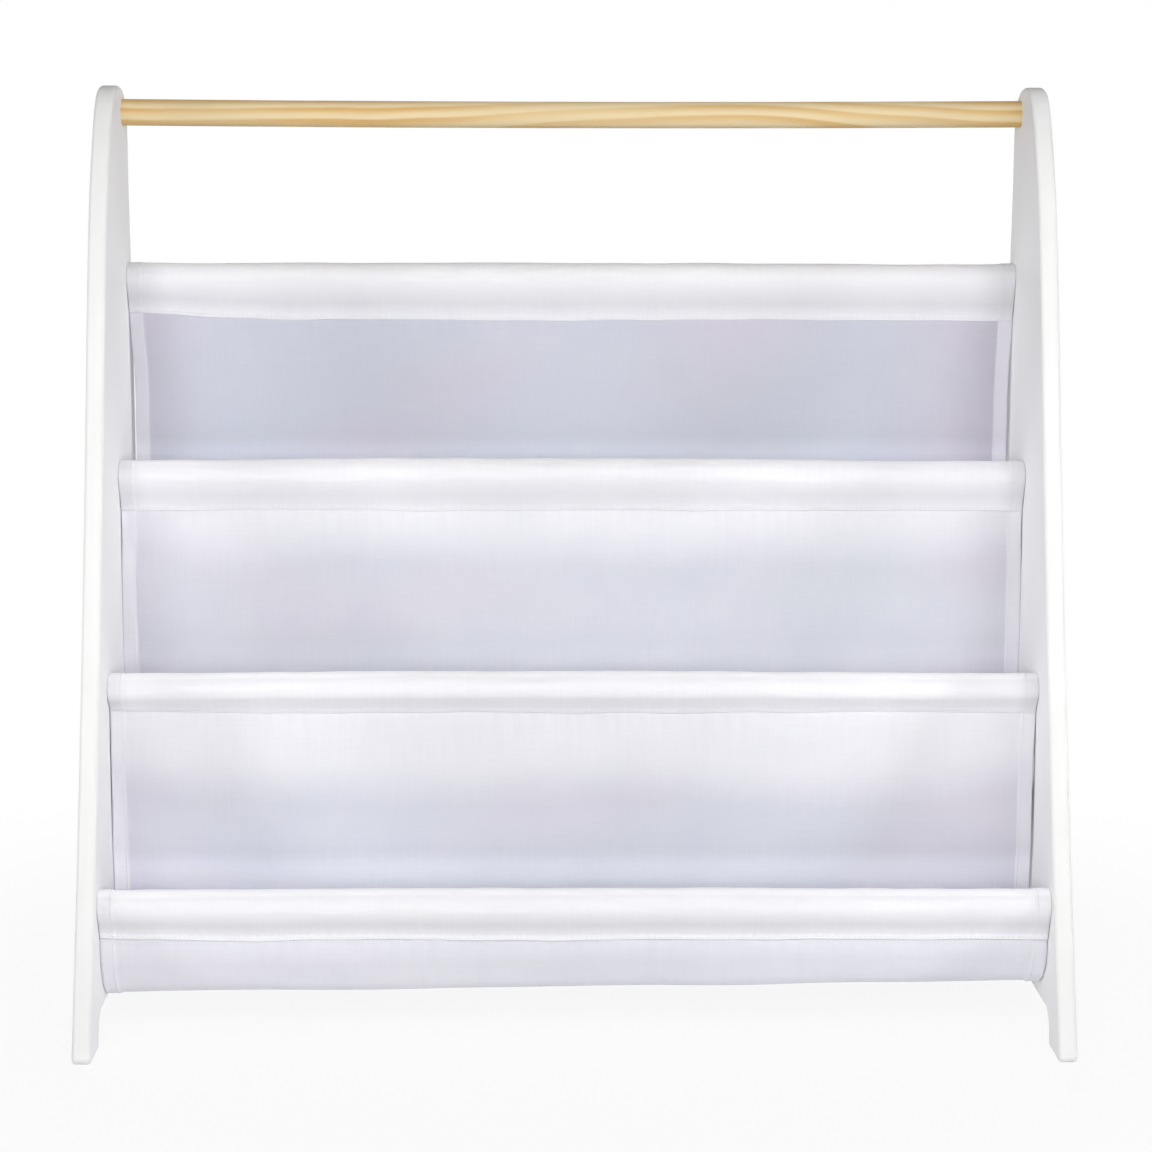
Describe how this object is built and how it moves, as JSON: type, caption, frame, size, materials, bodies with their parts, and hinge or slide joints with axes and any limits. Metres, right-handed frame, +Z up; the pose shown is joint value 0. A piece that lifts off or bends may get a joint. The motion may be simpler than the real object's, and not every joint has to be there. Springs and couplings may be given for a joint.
{
  "type": "sling bookshelf",
  "caption": "Child's sling bookshelf: two white side panels, a round pine rail on top, and white cloth hung over rods in stepped pockets that hold picture books face out.",
  "frame": {"origin": "on the floor, under the middle of the whole", "axes": "+Z up; +X along the rods, to the right as seen from the front; +Y from the front to the back, so the pockets open towards -Y and up"},
  "size_m": [0.622, 0.2784, 0.6],
  "materials": {
    "white_panel": "satin white paint on a board with rounded edges",
    "pine": "clear matt lacquer on round pine stock",
    "canvas": "plain woven white cotton, sewn sleeves and hemmed sides",
    "steel": "zinc-plated steel",
    "brass": "turned brass"
  },
  "bodies": {
    "root": {"left_side_panel": "white_panel", "right_side_panel": "white_panel", "top_rail": "pine", "sling_rod_1": "pine", "sling_rod_2": "pine", "sling_rod_3": "pine", "sling_rod_4": "pine", "sling_sleeve_1": "canvas", "sling_sleeve_2": "canvas", "sling_sleeve_3": "canvas", "sling_sleeve_4": "canvas", "sling_pocket_1": "canvas", "sling_pocket_2": "canvas", "sling_pocket_3": "canvas", "bolt_rail_left": "steel", "bolt_rail_right": "steel", "bolt_rod_1_left": "steel", "bolt_rod_1_right": "steel", "bolt_rod_2_left": "steel", "bolt_rod_2_right": "steel", "bolt_rod_3_left": "steel", "bolt_rod_3_right": "steel", "bolt_rod_4_left": "steel", "bolt_rod_4_right": "steel", "insert_rail_left": "brass", "insert_rail_right": "brass", "insert_rod_1_left": "brass", "insert_rod_1_right": "brass", "insert_rod_2_left": "brass", "insert_rod_2_right": "brass", "insert_rod_3_left": "brass", "insert_rod_3_right": "brass", "insert_rod_4_left": "brass", "insert_rod_4_right": "brass"}
  },
  "joints": []
}
